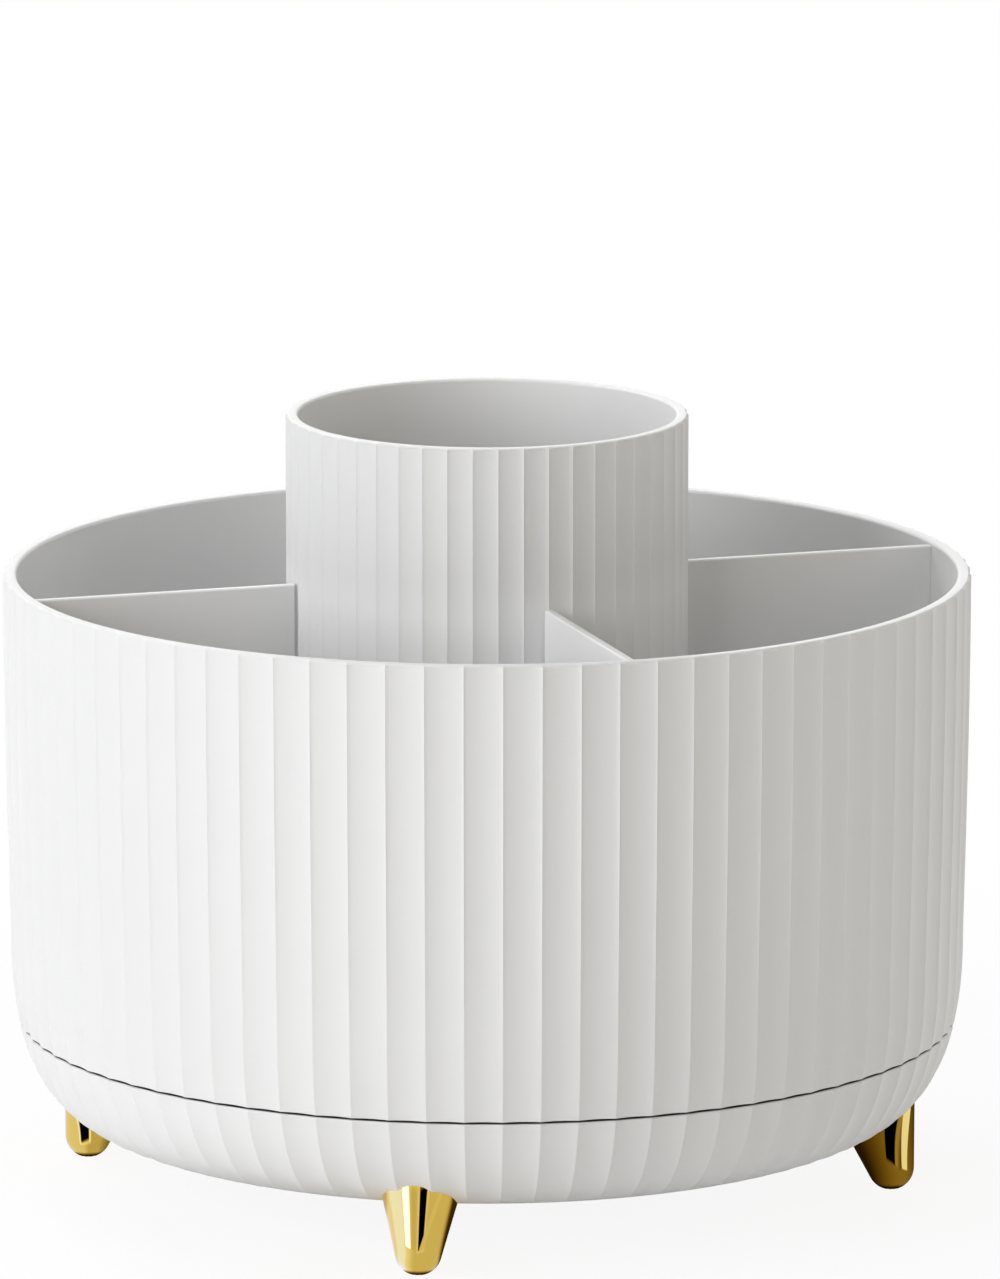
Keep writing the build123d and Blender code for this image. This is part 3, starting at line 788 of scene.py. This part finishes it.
def cup_profile(sizes):
    """Profile of the cup: out under it, up the fluted outside, over the rim and down to its floor."""
    low, high = CUP_LOW.z, CUP_HIGH.z
    plain = sizes.cup_radius - sizes.cup_flute_depth
    thickness = sizes.cup_flute_depth + sizes.cup_wall
    bore = sizes.cup_radius - thickness
    wall_low, wall_top = low + CUP_FOOT, high - sizes.cup_rim_round
    profile = [
        point(0.0, low), point(plain - CUP_BEVEL, low), point(plain, low + CUP_BEVEL), point(plain, wall_low)]
    for row in range(CUP_ROWS):
        # The flutes start from next to nothing on the lowest row
        depth = sizes.cup_flute_depth * (0.001 if row == 0 else 1.0)
        height = wall_low + (wall_top - wall_low) * row / CUP_ROWS
        profile.append((*point(sizes.cup_radius, height, depth), sizes.flute_lip))
    profile += rounded_rim(
        sizes.cup_radius, high, sizes.cup_rim_round, sizes.cup_rim_round, thickness,
        sizes.cup_flute_depth, sizes.flute_lip)
    floor = low + CUP_FLOOR
    profile += arc((bore - CUP_CORNER, floor + CUP_CORNER), CUP_CORNER, 0, -90, 5)
    return profile + [point(0.0, floor)]


class HOLDER_OT_cup(bpy.types.Operator):
    """Build the tall fluted cup in the middle"""

    bl_idname = "holder.cup"
    bl_label = "Fluted cup"

    def execute(self, context):
        sizes = context.scene.holder_shells
        bm = bmesh.new()
        lathe(bm, cup_profile(sizes), flute_columns(sizes.cup_flutes))
        finished_piece("fluted_cup", bm, "white_plastic", "cup", "brush_cup")
        return {"FINISHED"}


def in_bowl(sizes, place):
    """How far a point lies inside the fluted bowl, about square to its surface; negative outside."""
    above = place.z - sizes.underside_height
    if above < 0:
        return above
    turn = bowl_turn(sizes, min(place.z, sizes.shoulder_height))
    edge, _, normal = bowl_point(sizes, turn)
    flute = math.atan2(place.y, place.x) / math.tau * sizes.flutes
    dip = sizes.flute_depth * flute_fade(turn) * flute_dip(2 * (flute - round(flute)))
    return min((edge - math.hypot(place.x, place.y)) * max(normal.x, LEAST_SLOPE) - dip, above)


def circle(radius, height, place):
    """Points of a level circle about the upright axis, moved to a place."""
    angles = [math.tau * column / FOOT_COLUMNS for column in range(FOOT_COLUMNS)]
    return [place @ Vector((radius * math.cos(angle), radius * math.sin(angle), height)) for angle in angles]


def seated(sizes, feet, start, slope):
    """Point where a foot's side, followed from its start along its slope, is seated in the bowl."""
    near, far = 0.0, FOOT_REACH
    for _ in range(HALVINGS):
        half = (near + far) / 2
        if in_bowl(sizes, start + slope * half) > feet.seat:
            far = half
        else:
            near = half
    return start + slope * far


def foot_mesh(sizes, feet, place):
    """Slanted foot: a round tip cut flat by the table, and a cone up into the bowl."""
    lean, tip = feet.lean, feet.tip
    rings = []
    for row in range(1, TIP_ROWS + 1):
        swing = math.radians(-90) + (math.radians(90) - lean) * row / TIP_ROWS
        rings.append(circle(tip * math.cos(swing), tip * math.sin(swing), place))
    cone = rings[-1]
    ahead = circle(tip * math.cos(lean) + math.sin(lean), math.cos(lean) - tip * math.sin(lean), place)
    tops = [seated(sizes, feet, low, high - low) for low, high in zip(cone, ahead)]
    for row in range(1, CONE_ROWS + 1):
        rings.append([low.lerp(high, row / CONE_ROWS) for low, high in zip(cone, tops)])
    bm = bmesh.new()
    made = [[bm.verts.new((spot.x, spot.y, max(0.0, spot.z))) for spot in ring] for ring in rings]
    end = place @ Vector((0.0, 0.0, -tip))
    lowest = bm.verts.new((end.x, end.y, max(0.0, end.z)))
    highest = bm.verts.new(sum(tops, Vector()) / FOOT_COLUMNS)
    for column in range(FOOT_COLUMNS):
        following = (column + 1) % FOOT_COLUMNS
        bm.faces.new((lowest, made[0][following], made[0][column]))
        bm.faces.new((highest, made[-1][column], made[-1][following]))
        for low, high in zip(made, made[1:]):
            bm.faces.new((low[column], low[following], high[following], high[column]))
    return bm


class HOLDER_OT_feet(bpy.types.Operator):
    """Build the four slanted gold feet, their tops seated in the fluted bowl"""

    bl_idname = "holder.feet"
    bl_label = "Gold feet"

    def execute(self, context):
        sizes = context.scene.holder_shells
        feet = context.scene.holder_feet
        upright = Matrix.Translation((feet.outer - feet.tip, 0.0, feet.tip - feet.flat))
        for corner, name in enumerate(("front", "right", "back", "left")):
            turn = Matrix.Rotation(feet.first_angle + math.pi / 2 * corner, 4, "Z")
            place = turn @ upright @ Matrix.Rotation(-feet.lean, 4, "Y")
            bm = foot_mesh(sizes, feet, place)
            finished_piece(f"gold_foot_{name}", bm, "gold_plating", "base", f"foot_{name}")
        return {"FINISHED"}


class HOLDER_OT_divider(bpy.types.Operator):
    """Build the divider cross with its vanes right up to the tub wall"""

    bl_idname = "holder.divider"
    bl_label = "Divider cross"

    def execute(self, context):
        sizes = context.scene.holder_shells
        bm = bmesh.new()
        bm.from_mesh(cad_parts["divider_frame"].data)
        bmesh.ops.remove_doubles(bm, verts=bm.verts, dist=WELD)
        thickness = sizes.flute_depth + sizes.wall
        for vert in bm.verts:
            reach = max(abs(vert.co.x), abs(vert.co.y))
            inner = inner_radius(sizes, vert.co.z) - thickness
            if vert.co.z > sizes.floor + VANE_FOOT and abs(inner - reach) < VANE_CLEARANCE:
                vert.co.xy *= (inner - VANE_GAP) / vert.co.xy.length
        finished_piece("divider_cross", bm, "white_plastic", "dividers", "divider_frame", crisp=30.0)
        return {"FINISHED"}


def inner_radius(sizes, height):
    """Radius of the straight inner wall before its thickness is taken off."""
    if height < sizes.shoulder_height:
        low, high = sizes.floor, sizes.shoulder_height
        first, last = wall_radius(sizes, sizes.floor), sizes.shoulder_radius
    else:
        low, high = sizes.shoulder_height, sizes.rim_height
        first, last = sizes.shoulder_radius, sizes.rim_radius
    return first + (last - first) * (height - low) / (high - low)


# Nodes of the bearing and the pivot that keep their CAD shape, by slot
BEARING_NODES = {
    "pressed_steel": ("lower_race", "upper_race", "pivot_washer"),
    "ball_steel": ("bearing_balls",),
    "bearing_plastic": ("ball_cage", "pivot_bush"),
    "zinc_steel": ("lower_race_screws", "upper_race_screws", "foot_screws", "pivot_screw"),
}


class HOLDER_OT_turntable(bpy.types.Operator):
    """Finish the ball bearing and the pivot"""

    bl_idname = "holder.turntable"
    bl_label = "Ball bearing and pivot"

    def execute(self, context):
        for slot, nodes in BEARING_NODES.items():
            for node in nodes:
                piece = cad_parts[node]
                piece.data.materials.clear()
                piece.data.materials.append(finish_of(slot))
        return {"FINISHED"}


class HOLDER_OT_studio(bpy.types.Operator):
    """Set up the pale floor, soft lamps, white surroundings and the camera"""

    bl_idname = "holder.studio"
    bl_label = "Studio"

    def execute(self, context):
        studio = context.scene.holder_studio
        floor_mesh = bpy.data.meshes.new("studio_floor")
        bm = bmesh.new()
        bmesh.ops.create_grid(bm, x_segments=8, y_segments=8, size=FLOOR_HALF)
        bm.to_mesh(floor_mesh)
        bm.free()
        floor = bpy.data.objects.new("studio_floor", floor_mesh)
        context.scene.collection.objects.link(floor)
        floor.data.materials.append(floor_finish(studio, context.scene.holder_feet))

        context.scene.world = surroundings(studio)
        for name, turn, rise, power, warmth in LAMPS:
            add_lamp(studio, name, turn, rise, power, warmth)

        camera = bpy.data.cameras.new("camera")
        camera.lens = studio.lens
        camera.sensor_width = SENSOR_WIDTH
        view = bpy.data.objects.new("camera", camera)
        view.location = studio.camera_place
        view.rotation_euler = (studio.camera_tilt, 0.0, studio.camera_turn)
        context.scene.collection.objects.link(view)
        context.scene.camera = view
        context.scene.view_settings.view_transform = "Standard"
        return {"FINISHED"}


# Half the edge of the floor, the point that the lamps face, and the camera's sensor in millimetres
FLOOR_HALF, LAMP_TARGET, SENSOR_WIDTH = 6.0, (0.0, 0.0, 0.07), 36.0
# Soft lamps: bearing to the right of the camera and rise over the level in degrees, watts, and warmth
LAMPS = (
    ("key_lamp", -65, 18, 9.5, -0.4),
    ("front_lamp", -30, 18, 6.6, 0),
    ("top_lamp", 0, 89, 6.2, 0),
    ("left_back_lamp", -145, 45, 8.4, 0),
    ("back_lamp", 180, 18, 2.4, 0),
    ("fill_lamp", 48, 18, 2.9, 4.5),
    ("right_back_lamp", 113, 18, 4.2, 0.8),
)
# Green and blue that a lamp loses for each step of warmth
WARM_GREEN, WARM_BLUE = 0.012, 0.045


def add_lamp(studio, name, turn, rise, power, warmth):
    """Square soft lamp that faces the holder."""
    lamp = bpy.data.lights.new(name, "AREA")
    lamp.energy = power * studio.lamp_share
    lamp.size = studio.lamp_size
    lamp.color = (1.0, 1.0 - WARM_GREEN * warmth, 1.0 - WARM_BLUE * warmth)
    bearing = studio.camera_turn + math.radians(turn - 90.0)
    level, up = math.cos(math.radians(rise)), math.sin(math.radians(rise))
    away = studio.lamp_reach * Vector((level * math.cos(bearing), level * math.sin(bearing), up))
    holder = bpy.data.objects.new(name, lamp)
    holder.location = Vector(LAMP_TARGET) + away
    holder.rotation_euler = (-away).to_track_quat("-Z", "Y").to_euler()
    holder.visible_camera = False
    bpy.context.scene.collection.objects.link(holder)


# Painted reflections: glowing tones on the floor round each foot, seen only by its polished sides, each over
# the ones before it: bearing of the middle in degrees, its change for each metre away, half width and softness
# in degrees, nearest edge, tone
FRONT_PAINTED_REFLECTIONS = (
    (-115, 0, 78, 9, 0, 0.93),
    (-78, 0, 24, 8, 0, 1.00),
    (36, 0, 66, 16, 0, 0.70),
    (-43, 0, 9, 3, 0.0240, 2.30),
    (-20, 0, 7, 3, 0.0240, 0.66),
    (8, 0, 15, 4, 0.0205, 0.88),
    (8, 0, 10, 1.5, 0.0225, 0.00),
    (-34, 2000, 10, 2, 0.0215, 0.76),
    (142, 0, 36, 22, 0, 0.04),
)
RIGHT_PAINTED_REFLECTIONS = (
    (0, 0, 180, 1, 0, 0.02),
    (50, 0, 75, 75, 0, 0.26),
    (10, 1550, 5, 3, 0.0125, 0.36),
    (24, 1550, 4, 4, 0.0125, 0.14),
    (-9, 1550, 14, 1.5, 0.0125, 0.00),
    (51, 1000, 13, 2, 0.0135, 0.95),
)
LEFT_PAINTED_REFLECTIONS = (
    (-100, 0, 70, 8, 0, 0.86),
    (-22, 0, 30, 10, 0, 0.84),
    (33, 0, 40, 14, 0, 0.60),
    (78, 0, 22, 14, 0, 0.42),
    (128, 0, 45, 18, 0, 0.26),
    (9, -3000, 20.5, 3, 0.0068, 1.05),
    (9, -3000, 14.5, 2, 0.0077, 0.00),
)
BACK_PAINTED_REFLECTIONS = tuple((turn + 180, *others) for turn, *others in FRONT_PAINTED_REFLECTIONS)
# Colour of the painted reflections by tone, over the brightest colour: warm where they are dark, cool where
# they are bright
BRIGHTEST = 4.0
PAINTED_REFLECTION_COLOURS = (
    (0.0, (1.0, 0.58, 0.10)),
    (0.15, (1.0, 0.72, 0.18)),
    (0.30, (1.0, 0.82, 0.45)),
    (0.60, (1.0, 1.00, 0.92)),
    (0.93, (1.0, 1.12, 1.75)),
    (1.0, (1.0, 1.32, 4.00)),
)
# Half the softness of a painted reflection's nearest edge
PAINTED_REFLECTION_SOFT = 0.0008


def floor_finish(studio, feet):
    """Pale floor with the holder's shadow. Far off it is plain white. For glossy rays it glows, with painted
    shadow under the holder, and polished metal sees painted reflections round each foot.
    """
    finish = Finish(bpy.data.materials.new("studio_floor"))
    place = finish.place()
    speck = finish.noise(place, scale=300.0)
    rays = finish.node("ShaderNodeLightPath")
    seen = rays[CAMERA_RAY] + rays[TRANSMISSION_RAY]
    reach = finish.length(place)
    far = finish.step(reach, low=0.08, high=0.30, before=0.90)
    paint = finish.blend(speck, (0.93, 0.93, 0.93), (0.95, 0.95, 0.95))
    matt = finish.node(
        "ShaderNodeBsdfPrincipled", {}, {"Base Color": paint, "Roughness": 0.9, "Specular IOR Level": 0.0})[0]
    looked_at = finish.either(seen * far, matt, finish.glow((1.0, 1.0, 1.0, 1.0)))
    # Painted shadow under the holder, pale beside it, as a glow that glossy rays see
    under = finish.step(reach, low=0.056, high=0.072, before=0.10, after=0.9)
    satin = finish.glow(finish.blend(under, (0.0, 0.0, 0.0), (1.0, 1.0, 1.0)))
    tone = painted_reflection_tone(finish, place, under, studio, feet)
    stops = [(position, shade(colour, 1 / BRIGHTEST)) for position, colour in PAINTED_REFLECTION_COLOURS]
    colour = finish.node("ShaderNodeValToRGB", {"stops": stops}, {"Fac": tone})[0]
    # Painted reflections: the floor glows in these tones, up to four times white, for mirror rays only
    painted_reflections = finish.glow(finish.vector("MULTIPLY", colour, tone), BRIGHTEST)
    reflected = finish.either(rays[SINGULAR_RAY], satin, painted_reflections)
    surface = finish.either(rays[GLOSSY_RAY], looked_at, reflected)
    finish.node("ShaderNodeOutputMaterial", {}, {"Surface": surface})
    return finish.owner


def painted_reflection_tone(finish, place, tone, studio, feet):
    """Tone of the glowing floor in polished metal: painted shadow under the holder, painted reflections round
    each foot, and a painted contact shadow where each foot stands.
    """
    front = studio.camera_turn - math.pi / 2
    for corner, painted_reflections in enumerate((FRONT_PAINTED_REFLECTIONS, RIGHT_PAINTED_REFLECTIONS, BACK_PAINTED_REFLECTIONS, LEFT_PAINTED_REFLECTIONS)):
        turn = feet.first_angle + math.pi / 2 * corner
        standing = feet.outer - feet.tip
        away = finish.vector("SUBTRACT", place, (standing * math.cos(turn), standing * math.sin(turn), 0.0))
        reach = finish.length(away)
        bearing = finish.bearing(away, front)
        near = finish.step(reach, low=0.072, high=0.062)
        # Each painted reflection glows with its tone over the ones before it
        for angle, slant, half, soft, first, card in painted_reflections:
            off = finish.apart(bearing - math.radians(angle) - reach * math.radians(slant))
            mask = near * finish.window(off, math.radians(half), math.radians(soft))
            if first > 0:
                mask = mask * finish.step(reach, first - PAINTED_REFLECTION_SOFT, first + PAINTED_REFLECTION_SOFT)
            tone = tone + mask * (card - tone)
        # Painted contact shadow where the foot stands, seen in its polished sides
        tone = tone * finish.step(reach, low=0.0021, high=0.0033, before=0.06)
    return tone


def surroundings(studio):
    """White world that gives only a little light of its own."""
    finish = Finish(bpy.data.worlds.new("surroundings"))
    rays = finish.node("ShaderNodeLightPath")
    seen = rays[CAMERA_RAY] + rays[TRANSMISSION_RAY]
    glossy = rays[GLOSSY_RAY]
    strength = seen + glossy * studio.glossy + (1 - seen - glossy) * studio.ambient
    light = finish.node("ShaderNodeBackground", {}, {"Color": (1.0, 1.0, 1.0, 1.0), "Strength": strength})[0]
    finish.node("ShaderNodeOutputWorld", {}, {"Surface": light})
    return finish.owner


class HOLDER_PT_panel(bpy.types.Panel):
    """Sizes, finishes and building steps of the brush holder"""

    bl_idname = "HOLDER_PT_panel"
    bl_label = "Brush Holder"
    bl_space_type = "VIEW_3D"
    bl_region_type = "UI"
    bl_category = "Brush Holder"

    def draw(self, context):
        for owner, group in GROUPS.items():
            box = self.layout.box()
            box.label(text=group.__doc__)
            for name in group.__annotations__:
                box.prop(getattr(context.scene, owner), name)
        column = self.layout.column(align=True)
        for operator in BUILD_ORDER:
            column.operator(operator.bl_idname)


GROUPS = {
    "holder_shells": ShellSizes,
    "holder_feet": FootSizes,
    "holder_finishes": Finishes,
    "holder_studio": StudioSettings,
}
BUILD_ORDER = (
    HOLDER_OT_tub,
    HOLDER_OT_base,
    HOLDER_OT_cup,
    HOLDER_OT_feet,
    HOLDER_OT_divider,
    HOLDER_OT_turntable,
    HOLDER_OT_studio,
)


def register():
    for group in GROUPS.values():
        bpy.utils.register_class(group)
    for operator in BUILD_ORDER:
        bpy.utils.register_class(operator)
    bpy.utils.register_class(HOLDER_PT_panel)
    for name, group in GROUPS.items():
        setattr(bpy.types.Scene, name, PointerProperty(type=group))


def unregister():
    for name in GROUPS:
        delattr(bpy.types.Scene, name)
    bpy.utils.unregister_class(HOLDER_PT_panel)
    for operator in reversed(BUILD_ORDER):
        bpy.utils.unregister_class(operator)
    for group in reversed(list(GROUPS.values())):
        bpy.utils.unregister_class(group)


def main():
    """Builds the holder and its studio."""
    register()
    for operator in BUILD_ORDER:
        family, name = operator.bl_idname.split(".")
        getattr(getattr(bpy.ops, family), name)()


if __name__ == "__main__":
    main()
